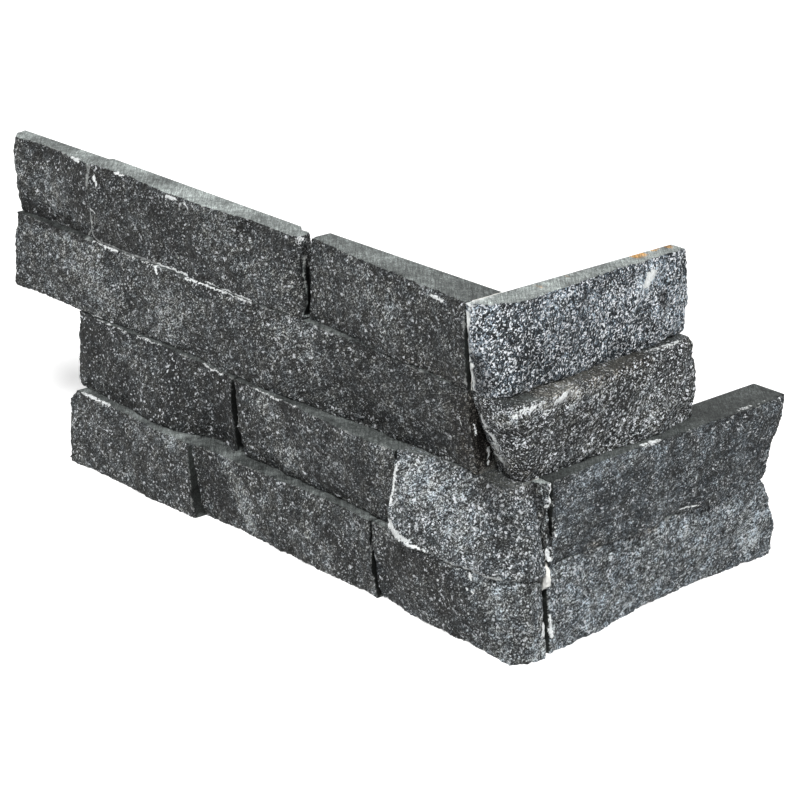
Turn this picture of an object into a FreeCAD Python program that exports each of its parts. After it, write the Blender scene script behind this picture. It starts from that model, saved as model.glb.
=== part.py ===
import FreeCAD, Part
import math
import os
import random

import Sketcher

# Split-face stone corner panel: four courses of sawn strips, bonded into an L.
# Origin: foot of the inside corner, where the two flat backs meet.
# The long leg runs along -X and faces -Y. The short leg runs along +Y and faces +X.
# Courses are numbered from the top. +Z is up. All sizes are in millimetres.
# On either leg, "along" runs from left to right as one faces it, from the inside
# corner, and "depth" runs outward from its flat back.

OUT = "parts"
V = FreeCAD.Vector

# Sizes of the panel as a whole
PANEL_SIZES = {
    "long_leg": 337.0,          # from the inside corner to the end of course 2
    "long_step": 55.5,          # courses 3 and 4 end this much short of it
    "short_leg": 154.5,         # from the inside corner to the end of course 3
    "short_step": 50.5,         # courses 1 and 2 end this much short of it
    "course_height": 38.1,      # sawn height of every stone
    "upper_joint": 1.0,         # glue line behind the short leg, courses 1 and 2
    "third_joint": 6.0,         # glue joint behind the long leg, course 3
    "fourth_joint": 4.0,        # glue joint behind the long leg, course 4
    "first_gap": 2.1,           # open joint in course 1, at its foot; it widens upward
    "third_gap": 2.0,           # open joint in course 3
    "fourth_gap": 1.3,          # open joint in course 4
    "facet_size": 7.0,          # size of the flakes on a split face
    "face_swell": 1.2,          # how far a split face swells between its arrises
    "coarse_relief": 1.3,       # hollows and swells a few centimetres wide
    "coarse_width": 24.0,       # width of those hollows
    "fine_relief": 0.7,         # flake by flake roughness
    "arris_chip": 1.1,          # deepest nibble along an arris
    "arris_band": 2.5,          # height of the nibbled band
    "first_glue_depth": 16.5,   # how far the glue line reaches from the back, course 1
    "second_glue_depth": 8.0,   # the same, course 2
    "second_glue_height": 19.0,  # how far it reaches down from the top of course 2
    "glue_start": 6.0,          # the lower glue slabs begin this far out of the corner
    "glue_front": 17.0,         # and end here, behind the faces
    "bead_radius": 7.0,         # glue squeezed out between courses 3 and 4
    "bead_reach": 28.5,         # how far out of the corner the bead comes
    "bead_drop": 3.0,           # bead centre below the top of course 4
    "sliver_height": 12.0,      # head of the sliver bedded in the joint of course 3
    "sliver_front": 24.5,       # its outer face, from the back of the short leg
    "sliver_bevel": 4.5,        # how much of its outer corner is broken off
    "shank_head": 23.0,         # outer edge of its shank, below the head, at the top
    "shank_foot": 27.5,         # and at its foot, where it comes out with the stones
    "seat_clearance": 0.3,      # room round the sliver, and above the bead
}

# Level marks on the end of a strip, as parts of its height
END_LEVELS = (0.0, 1 / 3, 0.85, 1.0)

# Every stone. length runs from the first to the last step of its face; the stones
# at the ends of the legs have spans in its place, a sum of signed sizes, and may stand
# in by their inset. start is where the first step lies, as signed sizes from the
# inside corner. head and foot are the depths of the top and bottom arris at even
# steps. start_in and end_in are how far the strip's ends stand in at the level marks.
# A stone whose end is split too has turn points (along from the nearest step, depth)
# round that end, and may have a strip that reaches before or past its face. back
# gives the depth of a back that isn't flush, at its two ends.
STONES = [
    dict(name="course1_left_stone_a", leg="left", course=1, inset=3.5, before=9.0,
         start=("-long_leg", "+course1_left_stone_a_inset"),
         spans=("+long_leg", "-course1_left_stone_a_inset", "-upper_joint", "-first_gap",
                "-course1_left_stone_b_length", "-course1_left_stone_c_length"),
         back=(2.0, 2.0),
         head=(13.5, 11.5, 12.7, 15.5), foot=(11.0, 10.5, 10.5, 11.5),
         head_turn=((-8.5, 3.0), (-8.0, 7.0), (-4.0, 11.5)),
         foot_turn=((-6.0, 3.0), (-5.8, 6.0), (-3.5, 9.0)), turned="start"),
    dict(name="course1_left_stone_b", leg="left", course=1, length=156.0, past=1.5,
         start=("-upper_joint", "-course1_left_stone_c_length", "-first_gap",
                "-course1_left_stone_b_length"),
         back=(0.0, 3.2),
         head=(13.8, 12.5, 16.0, 16.8, 14.8, 15.1),
         foot=(13.8, 14.5, 14.0, 13.4, 13.2, 13.0),
         head_turn=((0.7, 12.5), (1.0, 9.5), (-0.5, 6.2), (-10.5, 3.9)),
         foot_turn=((0.7, 11.0), (1.2, 8.5), (1.0, 6.0), (0.6, 3.6)), turned="end"),
    dict(name="course1_left_stone_c", leg="left", course=1, length=110.4,
         start=("-upper_joint", "-course1_left_stone_c_length"),
         start_in=(0.0, 0.8, 2.2, 3.4),
         head=(10.2, 13.0, 16.4, 17.8, 19.7), foot=(9.0, 10.7, 14.5, 15.9, 18.4)),
    dict(name="course1_right_stone", leg="right", course=1, inset=3.8, before=25.0,
         start=(), spans=("+short_leg", "-short_step", "-course1_right_stone_inset"),
         end_in=(2.0, 0.0, 1.2, 2.0),
         head=(13.6, 12.0, 9.5, 9.0, 8.2), foot=(16.4, 14.8, 12.0, 11.5, 7.2),
         head_turn=((-20.5, 0.0), (-20.5, 3.0), (-13.0, 8.5), (-5.0, 13.0)),
         foot_turn=((-17.0, 0.0), (-18.0, 6.0), (-17.5, 12.5), (-10.0, 17.0)),
         turned="start"),
    dict(name="course2_left_stone", leg="left", course=2,
         start=("-long_leg",), spans=("+long_leg", "-upper_joint"),
         start_in=(1.6, 1.9, 2.3, 2.3),
         head=(14.5, 14.5, 14.0, 14.5, 14.5, 14.0, 14.5, 12.5, 14.0, 17.0, 18.5),
         foot=(15.6, 14.5, 15.3, 14.0, 12.3, 15.0, 16.0, 13.8, 11.5, 10.5, 12.0)),
    dict(name="course2_right_stone", leg="right", course=2, before=25.0,
         start=(), spans=("+short_leg", "-short_step"),
         end_in=(0.0, 0.5, 3.4, 6.0),
         head=(27.0, 22.7, 20.5, 16.5, 12.0), foot=(17.7, 17.4, 16.6, 17.8, 12.0),
         head_turn=((-17.5, 0.0), (-19.0, 8.0), (-18.5, 18.0), (-12.0, 26.0)),
         foot_turn=((-1.5, 0.0), (-4.0, 6.0), (-6.0, 12.0), (-3.0, 17.0)),
         turned="start"),
    dict(name="course3_left_stone_a", leg="left", course=3,
         start=("-long_leg", "+long_step"),
         spans=("+long_leg", "-long_step", "-third_gap", "-course3_left_stone_b_length",
                "-course3_left_stone_c_length", "+course3_left_stone_c_start_in_4"),
         start_in=(1.3, 0.8, 0.2, 0.0), end_in=(4.5, 3.0, 0.8, 0.0),
         head=(15.5, 16.5, 16.0, 15.5, 15.5, 16.5, 18.0),
         foot=(17.2, 17.4, 18.5, 20.5, 18.5, 10.0, 13.8)),
    dict(name="course3_left_stone_b", leg="left", course=3, length=111.9,
         start=("-course3_left_stone_c_length", "+course3_left_stone_c_start_in_4",
                "-course3_left_stone_b_length"),
         end_meets="course3_left_stone_c",
         head=(18.4, 19.1, 19.5, 20.6, 22.0, 20.0),
         foot=(12.6, 12.2, 12.8, 12.9, 14.8, 13.5)),
    dict(name="course3_left_stone_c", leg="left", course=3, length=47.6, past=40.0,
         start=("-course3_left_stone_c_length",), start_in=(0.0, 1.5, 3.4, 4.0),
         head=(20.0, 14.5, 11.5, 12.0), foot=(20.0, 26.0, 23.5, 22.8),
         head_turn=((12.0, 15.5), (17.5, 15.0), (20.5, 6.0), (20.0, 0.0)),
         foot_turn=((14.0, 21.5), (25.0, 17.0), (30.5, 9.0), (28.5, 0.0)),
         turned="end"),
    dict(name="course3_right_stone", leg="right", course=3,
         start=("+third_joint",), spans=("+short_leg", "-third_joint"),
         end_in=(10.2, 9.3, 1.2, 0.0), back=(2.0, 2.0),
         head=(24.6, 23.0, 21.8, 22.3, 22.5, 23.0, 20.4),
         foot=(22.8, 22.3, 26.0, 20.5, 25.0, 20.5, 18.0)),
    dict(name="course4_left_stone_a", leg="left", course=4,
         start=("-long_leg", "+long_step"),
         spans=("+long_leg", "-long_step", "-fourth_gap", "-course4_left_stone_b_length",
                "-course4_left_stone_c_length"),
         start_in=(0.4, 0.0, 0.0, 5.0),
         head=(22.5, 22.7, 23.2, 25.0, 23.5), foot=(24.1, 23.4, 23.4, 23.2, 22.5)),
    dict(name="course4_left_stone_b", leg="left", course=4, length=122.2,
         start=("-course4_left_stone_c_length", "-fourth_gap",
                "-course4_left_stone_b_length"),
         head=(23.3, 22.2, 21.2, 19.0, 18.5, 20.0),
         foot=(15.2, 13.7, 14.3, 14.8, 14.2, 14.4)),
    dict(name="course4_left_stone_c", leg="left", course=4, length=60.0, past=40.0,
         start=("-course4_left_stone_c_length",),
         head=(19.5, 21.0, 22.0, 22.0), foot=(12.0, 14.0, 14.7, 15.2),
         head_turn=((15.0, 19.5), (24.5, 15.5), (28.0, 8.0), (25.5, 0.0)),
         foot_turn=((13.0, 16.0), (24.0, 16.5), (28.5, 9.0), (29.5, 0.0)),
         turned="end"),
    dict(name="course4_right_stone", leg="right", course=4, inset=3.0,
         start=("+fourth_joint",),
         spans=("+short_leg", "-course4_right_stone_inset", "-fourth_joint"),
         end_in=(1.5, 0.2, 4.5, 8.0),
         head=(23.0, 23.0, 22.5, 20.5, 22.0, 18.0),
         foot=(27.0, 26.3, 21.5, 19.1, 20.0, 21.0)),
]

COURSES = 4
OVERCUT = 3.0               # how far a split blank reaches past its strip
DEPTH_ROWS = ("head", "foot")
END_ROWS = ("start_in", "end_in", "back")
LONE_SIZES = ("length", "inset", "before", "past")

doc = FreeCAD.newDocument("StoneCorner")
sheet = doc.addObject("Spreadsheet::Sheet", "Sizes")
aliases = []


def add_size(alias, value):
    """Write one driving size to the sheet, under its alias."""
    aliases.append(alias)
    sheet.set("A%d" % len(aliases), alias)
    sheet.set("B%d" % len(aliases), str(value))
    sheet.setAlias("B%d" % len(aliases), alias)


def add_row(alias, values):
    """Write a row of like sizes, numbered from 1."""
    for number, value in enumerate(values, 1):
        add_size("%s_%d" % (alias, number), value)


def write_sheet():
    """Put every driving size of the panel and its stones in the sheet."""
    for alias, value in PANEL_SIZES.items():
        add_size(alias, value)
    for stone in STONES:
        name = stone["name"]
        for key in LONE_SIZES:
            if key in stone:
                add_size(name + "_" + key, stone[key])
        for key in DEPTH_ROWS + END_ROWS:
            if key in stone:
                add_row(name + "_" + key, stone[key])
        for key in ("head_turn", "foot_turn"):
            if key in stone:
                add_row(name + "_" + key + "_along", [point[0] for point in stone[key]])
                add_row(name + "_" + key + "_depth", [point[1] for point in stone[key]])
    doc.recompute()


def size(alias):
    """A driving size as a number, or 0 where the sheet has none."""
    return float(sheet.get(alias)) if alias in aliases else 0.0


def cell(alias):
    """The same size as a term of an expression."""
    return "Sizes." + alias if alias in aliases else "0"


def row(alias, count):
    return [size("%s_%d" % (alias, number)) for number in range(1, count + 1)]


def bind(item, **expressions):
    """Bind properties to expressions; a double underscore stands for a dot."""
    for key, expression in expressions.items():
        item.setExpression(key.replace("__", "."), expression)


def origin_plane(body, role):
    return [plane for plane in body.Origin.OriginFeatures if plane.Role == role][0]


def draw_outline(sketch, corners):
    """Closed outline; each corner is (x, its expression, y, its expression)."""
    count = len(corners)
    for number in range(count):
        here = corners[number]
        after = corners[(number + 1) % count]
        line = Part.LineSegment(V(here[0], here[2], 0), V(after[0], after[2], 0))
        sketch.addGeometry(line, False)
    for number in range(count):
        sketch.addConstraint(
            Sketcher.Constraint("Coincident", number, 2, (number + 1) % count, 1))
    for number, (x, x_cell, y, y_cell) in enumerate(corners):
        for kind, value, term in (("DistanceX", x, x_cell), ("DistanceY", y, y_cell)):
            index = sketch.addConstraint(
                Sketcher.Constraint(kind, -1, 1, number, 1, value))
            if term:
                sketch.setExpression("Constraints[%d]" % index, term)


def total(terms):
    """The sum of signed sizes, such as ("+long_leg", "-upper_joint")."""
    return sum(float(term[0] + "1") * size(term[1:]) for term in terms)


def total_cell(terms):
    """The same sum as an expression."""
    return "0" + "".join(" %s %s" % (term[0], cell(term[1:])) for term in terms)


def face_length(stone):
    """What the face's length adds up from: its own size, or the rest of its leg."""
    return stone.get("spans", ("+" + stone["name"] + "_length",))


def end_insets(stone, key):
    """Insets of one end of a strip, as (level, number, expression), foot to top."""
    name = stone["name"]
    if key == "end_in" and "end_meets" in stone:
        # This end follows the leaning start of the next stone
        rule = stone["end_meets"] + "_start_in_%d"
        last = len(END_LEVELS)
        return [(level, size(rule % last) - size(rule % number),
                 "%s - %s" % (cell(rule % last), cell(rule % number)))
                for number, level in enumerate(END_LEVELS, 1)]
    if key not in stone:
        return [(END_LEVELS[0], 0.0, ""), (END_LEVELS[-1], 0.0, "")]
    rule = name + "_" + key + "_%d"
    return [(level, size(rule % number), cell(rule % number))
            for number, level in enumerate(END_LEVELS, 1)]


def strip_depth_cell(stone):
    """Depth of a strip before its face is split: past all of its arrises and relief."""
    depths = []
    for key in ("head", "foot", "head_turn_depth", "foot_turn_depth"):
        count = len(stone.get(key.replace("_depth", ""), ()))
        depths += [cell("%s_%s_%d" % (stone["name"], key, n)) for n in range(1, count + 1)]
    relief = ("face_swell", "coarse_relief", "fine_relief", "facet_size")
    return "max(%s) + %s" % ("; ".join(depths), " + ".join(cell(part) for part in relief))


def make_strip(stone):
    """The sawn strip: its elevation is drawn on the back and padded outward."""
    name = stone["name"]
    body = doc.addObject("PartDesign::Body", name + "_strip")
    sketch = body.newObject("Sketcher::SketchObject", name + "_elevation")
    sketch.AttachmentSupport = [(origin_plane(body, "XZ_Plane"), "")]
    sketch.MapMode = "FlatFace"

    height = size("course_height")
    before = name + "_before"
    full = total(face_length(stone)) + size(before) + size(name + "_past")
    full_cell = " + ".join((total_cell(face_length(stone)), cell(before),
                            cell(name + "_past")))
    corners = []
    for level, inset, term in end_insets(stone, "end_in"):
        across = full_cell + (" - (%s)" % term if term else "")
        corners.append((full - inset, across, level * height,
                        cell("course_height") + " * %.6f" % level))
    for level, inset, term in reversed(end_insets(stone, "start_in")):
        corners.append((inset, term, level * height,
                        cell("course_height") + " * %.6f" % level))
    draw_outline(sketch, corners)
    bind(sketch, AttachmentOffset__Base__x=total_cell(stone["start"]) + " - " + cell(before))

    pad = body.newObject("PartDesign::Pad", name + "_pad")
    pad.Profile = sketch
    bind(pad, Length=strip_depth_cell(stone))
    return body


def grain(name, i, j):
    """A fixed random number from -1 to 1 for one place on a stone."""
    return random.Random("%s %d %d" % (name, i, j)).uniform(-1.0, 1.0)


def smooth_grain(name, x, y):
    """Random hollows and swells, smooth between whole-numbered places."""
    i = math.floor(x)
    j = math.floor(y)
    u = x - i
    v = y - j
    u = u * u * (3 - 2 * u)
    v = v * v * (3 - 2 * v)
    low = grain(name, i, j) * (1 - u) + grain(name, i + 1, j) * u
    high = grain(name, i, j + 1) * (1 - u) + grain(name, i + 1, j + 1) * u
    return low * (1 - v) + high * v


def arris_plan(stone, edge):
    """Plan points (along, depth) of one arris, over the whole strip."""
    name = stone["name"]
    depths = row(name + "_" + edge, len(stone[edge]))
    first = total(stone["start"])
    length = total(face_length(stone))
    steps = len(depths) - 1
    plan = [(first + length * number / steps, depth) for number, depth in enumerate(depths)]
    turn = stone.get(edge + "_turn", ())
    alongs = row(name + "_" + edge + "_turn_along", len(turn))
    turn_depths = row(name + "_" + edge + "_turn_depth", len(turn))
    near = plan[0] if stone.get("turned") == "start" else plan[-1]
    turned = [(near[0] + along, depth) for along, depth in zip(alongs, turn_depths)]
    if stone.get("turned") == "start":
        plan = turned + plan
    else:
        plan = [(first - OVERCUT, depths[0])] + plan
    if stone.get("turned") == "end":
        plan = plan + turned
    else:
        plan = plan + [(first + length + OVERCUT, depths[-1])]
    return plan


def divide(head, foot):
    """Divide the two arrises alike, in pieces no longer than a facet."""
    finest = size("facet_size")
    fine_head = [head[0]]
    fine_foot = [foot[0]]
    for number in range(len(head) - 1):
        reach = max(math.dist(head[number], head[number + 1]),
                    math.dist(foot[number], foot[number + 1]))
        pieces = max(1, math.ceil(reach / finest))
        for piece in range(1, pieces + 1):
            share = piece / pieces
            fine_head.append(between(head[number], head[number + 1], share))
            fine_foot.append(between(foot[number], foot[number + 1], share))
    return fine_head, fine_foot


def between(start, end, share):
    return tuple(a + (b - a) * share for a, b in zip(start, end))


def split_rows(head, foot, name):
    """Rings of points, foot to top, that carry the relief of the split face."""
    height = size("course_height")
    back = row(name + "_back", 2) if name + "_back_1" in aliases else (-OVERCUT, -OVERCUT)
    band = size("arris_band")
    middle = max(2, round((height - 2 * band) / size("facet_size")) + 1)
    levels = [band + (height - 2 * band) * number / (middle - 1) for number in range(middle)]
    levels = [-OVERCUT / 2] + levels + [height + OVERCUT / 2]
    rings = []
    for j, level in enumerate(levels):
        share = min(max(level / height, 0.0), 1.0)
        plan = [between(low, high, share) for low, high in zip(foot, head)]
        at_arris = j in (0, len(levels) - 1)
        ring = []
        for i, (along, depth) in enumerate(plan):
            before = plan[max(i - 1, 0)]
            after = plan[min(i + 1, len(plan) - 1)]
            run = math.dist(before, after)
            outward = (-(after[1] - before[1]) / run, (after[0] - before[0]) / run)
            at_end = i in (0, len(plan) - 1)
            if at_arris:
                lift = -size("arris_chip") * abs(grain(name + " arris", i, j))
            elif at_end:
                lift = 0.0
            else:
                width = size("coarse_width")
                lift = size("face_swell") * math.sin(math.pi * share)
                lift += size("coarse_relief") * smooth_grain(
                    name + " coarse", along / width, level / width)
                lift += size("fine_relief") * grain(name + " fine", i, j)
            # A flake's corners are not in rows: the inner points wander a little
            wander = 0.0 if at_arris or at_end else size("facet_size") * 0.25
            rise = wander * grain(name + " rise", i, j) if 1 < j < len(levels) - 2 else 0.0
            slip = wander * grain(name + " slip", i, j)
            ring.append(V(along + lift * outward[0] + slip * outward[1],
                          -(depth + lift * outward[1] - slip * outward[0]),
                          level + rise))
        # Close the ring behind the strip, or along a back that isn't flush
        ring.append(V(ring[-1].x, -back[1], level))
        ring.append(V(ring[0].x, -back[0], level))
        rings.append(ring)
    return rings


def skin(rings):
    """A solid through rings of points, with flat facets between them."""
    def face(*points):
        return Part.Face(Part.makePolygon(list(points) + [points[0]]))

    faces = [face(*rings[0]), face(*rings[-1])]
    count = len(rings[0])
    for j in range(len(rings) - 1):
        for i in range(count):
            a, b = rings[j][i], rings[j][(i + 1) % count]
            c, d = rings[j + 1][(i + 1) % count], rings[j + 1][i]
            if (i + j) % 2:
                faces += [face(a, b, c), face(a, c, d)]
            else:
                faces += [face(a, b, d), face(b, c, d)]
    solid = Part.makeSolid(Part.makeShell(faces))
    if solid.Volume < 0:
        solid.reverse()
    return solid


def make_split_blank(stone):
    """The block behind the split face, a little larger than the strip elsewhere."""
    name = stone["name"]
    head, foot = divide(arris_plan(stone, "head"), arris_plan(stone, "foot"))
    blank = doc.addObject("Part::Feature", name + "_split")
    blank.Shape = skin(split_rows(head, foot, name))
    return blank


def place(item, leg, course):
    """Stand a stone on its course, facing the way its leg faces."""
    turn = 90.0 if leg == "right" else 0.0
    item.Placement = FreeCAD.Placement(V(0, 0, 0), FreeCAD.Rotation(V(0, 0, 1), turn))
    bind(item, Placement__Base__z="%s * %d" % (cell("course_height"), COURSES - course))


def make_stone(stone):
    """One stone: the part of its sawn strip that lies behind the split face."""
    common = doc.addObject("Part::Common", stone["name"])
    common.Base = make_strip(stone)
    common.Tool = make_split_blank(stone)
    common.Label = stone["name"]
    place(common, stone["leg"], stone["course"])
    return common


def make_box(name, x, y, z, length, width, height):
    """A box whose corner and sides are all expressions."""
    box = doc.addObject("Part::Box", name)
    bind(box, Placement__Base__x=x, Placement__Base__y=y, Placement__Base__z=z,
         Length=length, Width=width, Height=height)
    return box


def make_upper_glue():
    """The glue line between the ends of the long leg and the backs of the short."""
    films = []
    for course, depth, height in ((1, cell("first_glue_depth"), cell("course_height")),
                                  (2, cell("second_glue_depth"), cell("second_glue_height"))):
        top = "%s * %d" % (cell("course_height"), COURSES - course + 1)
        films.append(make_box("upper_film_%d" % course, "-" + cell("upper_joint"),
                              "-" + depth, "%s - %s" % (top, height),
                              cell("upper_joint"), depth, height))
    glue = doc.addObject("Part::Fuse", "upper_corner_glue")
    glue.Base, glue.Tool = films
    glue.Label = "upper_corner_glue"
    glue.Placement = FreeCAD.Placement()
    return glue


def make_lower_glue():
    """Glue slabs behind the long leg in courses 3 and 4, with a squeezed-out bead."""
    height = cell("course_height")
    reach = "%s - %s" % (cell("glue_front"), cell("glue_start"))
    third = make_box("third_slab", cell("glue_start"), "0", height,
                     reach, cell("third_joint"), height)
    fourth = make_box("fourth_slab", cell("glue_start"), "0", "0",
                      reach, cell("fourth_joint"), height)
    bead_x = "%s - %s" % (cell("bead_reach"), cell("bead_radius"))
    bead_z = "%s - %s" % (height, cell("bead_drop"))
    bead = doc.addObject("Part::Cylinder", "squeezed_bead")
    bead.Placement = FreeCAD.Placement(V(0, 0, 0), FreeCAD.Rotation(V(1, 0, 0), -90))
    bind(bead, Radius=cell("bead_radius"), Height=cell("fourth_joint"),
         Placement__Base__x=bead_x, Placement__Base__z=bead_z)
    # The bead is squeezed out of the slab through a tongue as thick as half the bead
    tongue = make_box("bead_tongue", cell("glue_start"), "0",
                      "%s - %s / 2" % (bead_z, cell("bead_radius")),
                      "%s - %s" % (bead_x, cell("glue_start")),
                      cell("fourth_joint"), cell("bead_radius"))
    glue = doc.addObject("Part::MultiFuse", "lower_corner_glue")
    glue.Shapes = [third, fourth, tongue, bead]
    glue.Label = "lower_corner_glue"
    glue.Placement = FreeCAD.Placement()
    return glue


def make_sliver():
    """A thin sliver of stone bedded in the joint of course 3."""
    body = doc.addObject("PartDesign::Body", "corner_sliver")
    sketch = body.newObject("Sketcher::SketchObject", "sliver_plan")
    sketch.AttachmentSupport = [(origin_plane(body, "XY_Plane"), "")]
    sketch.MapMode = "FlatFace"
    back = size("glue_front") + size("seat_clearance")
    back_cell = "%s + %s" % (cell("glue_front"), cell("seat_clearance"))
    front = size("sliver_front")
    front_cell = cell("sliver_front")
    near = size("seat_clearance")
    near_cell = cell("seat_clearance")
    far = size("third_joint") - size("seat_clearance")
    far_cell = "%s - %s" % (cell("third_joint"), cell("seat_clearance"))
    bevel = size("sliver_bevel")
    bevel_cell = cell("sliver_bevel")
    draw_outline(sketch, [
        (back, back_cell, near, near_cell),
        (front - bevel, "%s - %s" % (front_cell, bevel_cell), near, near_cell),
        (front, front_cell, near + bevel * 0.8, "%s + %s * 0.8" % (near_cell, bevel_cell)),
        (front, front_cell, far, far_cell),
        (back, back_cell, far, far_cell)])
    under_head = "%s * 2 - %s" % (cell("course_height"), cell("sliver_height"))
    bind(sketch, AttachmentOffset__Base__z=under_head)
    pad = body.newObject("PartDesign::Pad", "sliver_pad")
    pad.Profile = sketch
    bind(pad, Length=cell("sliver_height"))

    # The shank reaches down to the bead; its outer edge leans as the stones do
    elevation = body.newObject("Sketcher::SketchObject", "shank_elevation")
    elevation.AttachmentSupport = [(origin_plane(body, "XZ_Plane"), "")]
    elevation.MapMode = "FlatFace"
    top = size("course_height") * 2 - size("sliver_height")
    low = size("course_height") - size("bead_drop") + size("bead_radius") + near
    low_cell = "%s - %s + %s + %s" % (
        cell("course_height"), cell("bead_drop"), cell("bead_radius"), near_cell)
    draw_outline(elevation, [
        (back, back_cell, low, low_cell),
        (size("shank_foot"), cell("shank_foot"), low, low_cell),
        (size("shank_head"), cell("shank_head"), top, under_head),
        (back, back_cell, top, under_head)])
    bind(elevation, AttachmentOffset__Base__z="-" + near_cell)
    shank = body.newObject("PartDesign::Pad", "shank_pad")
    shank.Profile = elevation
    shank.Reversed = True
    bind(shank, Length="%s - %s" % (far_cell, near_cell))
    body.Label = "corner_sliver"
    body.Placement = FreeCAD.Placement()
    return body


def check(parts):
    """Stop if any object failed, or a sub-part has no sound solid."""
    for item in doc.Objects:
        if "Invalid" in item.State or "Error" in item.State:
            raise RuntimeError("%s: %s" % (item.Name, item.State))
    for part in parts:
        shape = part.Shape
        if shape.isNull() or not shape.isValid() or len(shape.Solids) != 1:
            raise RuntimeError("%s is not one sound solid" % part.Label)


write_sheet()
parts = [make_stone(stone) for stone in STONES]
parts.append(make_upper_glue())
parts.append(make_lower_glue())
parts.append(make_sliver())
doc.recompute()
check(parts)
os.makedirs(OUT, exist_ok=True)
for part in parts:
    part.Shape.exportStep(os.path.join(OUT, part.Label + ".step"))
    box = part.Shape.BoundBox
    print("%-24s %8.1f cm3  x %.1f..%.1f  y %.1f..%.1f  z %.1f..%.1f" % (
        part.Label, part.Shape.Volume / 1000, box.XMin, box.XMax, box.YMin, box.YMax,
        box.ZMin, box.ZMax))
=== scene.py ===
import math
import random
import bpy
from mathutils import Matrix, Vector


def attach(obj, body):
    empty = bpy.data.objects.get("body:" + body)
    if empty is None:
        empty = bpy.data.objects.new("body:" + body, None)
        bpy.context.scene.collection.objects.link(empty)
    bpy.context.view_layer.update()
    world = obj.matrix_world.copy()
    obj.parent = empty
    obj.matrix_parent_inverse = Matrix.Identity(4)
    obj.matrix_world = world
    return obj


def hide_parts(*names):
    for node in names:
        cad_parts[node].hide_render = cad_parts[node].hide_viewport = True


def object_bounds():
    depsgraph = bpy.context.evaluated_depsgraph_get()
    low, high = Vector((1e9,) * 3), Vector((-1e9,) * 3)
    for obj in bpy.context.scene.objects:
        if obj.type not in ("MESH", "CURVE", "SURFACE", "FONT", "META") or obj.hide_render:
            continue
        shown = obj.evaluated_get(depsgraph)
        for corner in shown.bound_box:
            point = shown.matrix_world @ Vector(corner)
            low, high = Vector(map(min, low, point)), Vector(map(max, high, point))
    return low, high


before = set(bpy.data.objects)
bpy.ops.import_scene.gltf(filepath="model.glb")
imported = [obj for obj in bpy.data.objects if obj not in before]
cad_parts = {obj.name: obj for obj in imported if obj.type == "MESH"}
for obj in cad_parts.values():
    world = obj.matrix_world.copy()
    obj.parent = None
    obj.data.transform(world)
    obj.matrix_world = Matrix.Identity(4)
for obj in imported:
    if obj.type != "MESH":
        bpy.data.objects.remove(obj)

from types import SimpleNamespace

import bmesh
import bpy
import numpy as np
from mathutils import Matrix, Vector, kdtree, noise
from mathutils.geometry import delaunay_2d_cdt

CAD_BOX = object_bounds()
MM = 0.001                      # the frame is in metres

# Detail of the stone meshes, in millimetres
WELD = 0.002                    # points of the CAD mesh this close are one
SPLIT_PARTS = 8                 # pieces per edge of a facet on a split face
SAWN_EDGE = 3.0                 # longest piece of an edge between two sawn faces
SAWN_FINE = 0.9                 # spacing of points on a sawn face beside a split one
SAWN_COARSE = 5.0               # spacing further in
FINE_BAND = 3.6                 # width of the finely divided band
SMOOTH_PASSES = 8               # passes that soften the creases between facets
FLAT = 1e-3                     # largest slope of a sawn face against its own plane
BACKWARD = -0.9                 # a face whose normal along the stone's out is less is its back
SHARP_ANGLE = 50                # in degrees: a steeper crease is shaded sharp

# Noise on the meshes: width of its largest lumps in mm, octaves, and height in mm
LUMPS = (9.0, 3, 0.65)
GRAINS = (2.4, 3, 0.35)
RIDGES = (4.5, 3, 0.75)
RAGGED_ARRIS = (1.6, 2, 0.35)
CHIPS = (2.2, 3, 0.9)
CHIPPED_STRETCHES = (14.0, 2, 1.2)

RIDGE_STRETCH = 0.3             # how drawn out the ridges are along the strokes
SPLIT_SINK = 0.45               # how far a split face's skin lies within the CAD's, in mm
ARRIS_SINK = 0.2                # the same at an arris
ARRIS_CALM = 0.35               # share of the roughness that is left beside an arris
CALM_BAND = 3.0                 # over how many millimetres the share grows
CHIP_REACH = 2.6                # how far a chip reaches from an arris, in mm
CHIP_LEVEL = 0.35               # how much of an arris is chipped
CHIP_DEPTH = 0.55               # how deep the chips are, in mm
PLACES = 500                    # how far apart, in mm, the stones' places in the noise lie

# Colours of the stones, in linear light
SPLIT_GREY = 0.0375             # a split face of tone 1
GREY_LEAST = 0.0045             # its darkest pits
GREY_MOST = 0.75
BACK_GREY = 0.18                # how light the sawn backs are
# Colour of the bright mica grains, partly a painted glint
MICA_AND_PAINTED_GLINT = (0.90, 0.93, 0.97)
SAWN_TINT = (0.93, 1.02, 0.99)
SMOOTH_END_TINT = (0.93, 1.02, 0.97)
ROUGH_END_TINT = (1.05, 1.0, 0.92)
DUST_TINT = (1.08, 1.0, 0.86)
SAWN_DUST_TINT = (0.74, 0.69, 0.60)
RUST_TINT = (1.35, 0.78, 0.30)
BRUISE = (0.39, 0.40, 0.39, 1.0)
CHALK_TINT = (0.97, 1.0, 1.0)
THIN_LINE = (0.86, 0.89, 0.88, 1.0)
GLUE_DARK = (0.92, 0.91, 0.85, 1.0)
GLUE_LIGHT = (0.98, 0.97, 0.94, 1.0)
VEIN_GAIN = 2.2                 # how much lighter a vein of strength 1 makes a split face
SAWN_VEIN_GAIN = 0.8            # and a sawn one
DUST_SHARE = 0.8                # how much a brown mark of strength 1 covers
DARK_MARK_AND_SHADE_REST = 0.30                # what a dark mark of strength 1 leaves of the colour; dark marks include painted shade

# Patterns in the stones' materials, in millimetres
SAW_TURN = 0.72                 # the saw lines' turn from the long leg, in radians
WANDER = 3.0                    # how far the lines of the marks wander
WANDER_SIZE = 3.0               # over what length they do
STROKE_STRETCH = (0.5, 1.15)    # strokes of the grain, along the face and up it
SLIVER_STRETCH = 0.38           # long bright grains, along the face
SLIVER_SIZE = 0.62
SLIVER_TURN = 1.0               # angle between their two ways, in radians

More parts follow.
